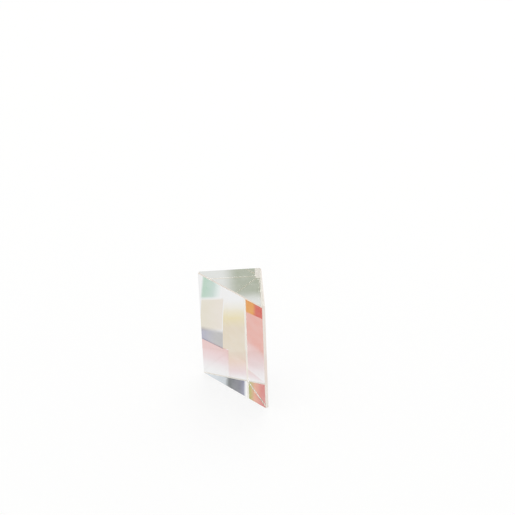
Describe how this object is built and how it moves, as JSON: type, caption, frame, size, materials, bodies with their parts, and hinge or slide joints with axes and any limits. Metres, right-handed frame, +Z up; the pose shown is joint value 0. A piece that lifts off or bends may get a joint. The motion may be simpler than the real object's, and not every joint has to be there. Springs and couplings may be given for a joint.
{
  "type": "right angle prism",
  "caption": "Right angle glass prism, a 45-90-45 degree triangular bar with polished faces and eased edges, for turning or reversing a beam of light.",
  "frame": {"origin": "middle of the footprint's bounding box, on the plane of the lower triangular end", "axes": "+Z up along the prism from end to end, -Y outward from the broad hypotenuse face, +Y to the right angle edge, +X to the right as seen facing the hypotenuse"},
  "size_m": [0.0332, 0.0174, 0.05],
  "materials": {
    "optical_glass": "polished faces with fine ground bevels"
  },
  "bodies": {
    "root": {"prism": "optical_glass"}
  },
  "joints": []
}
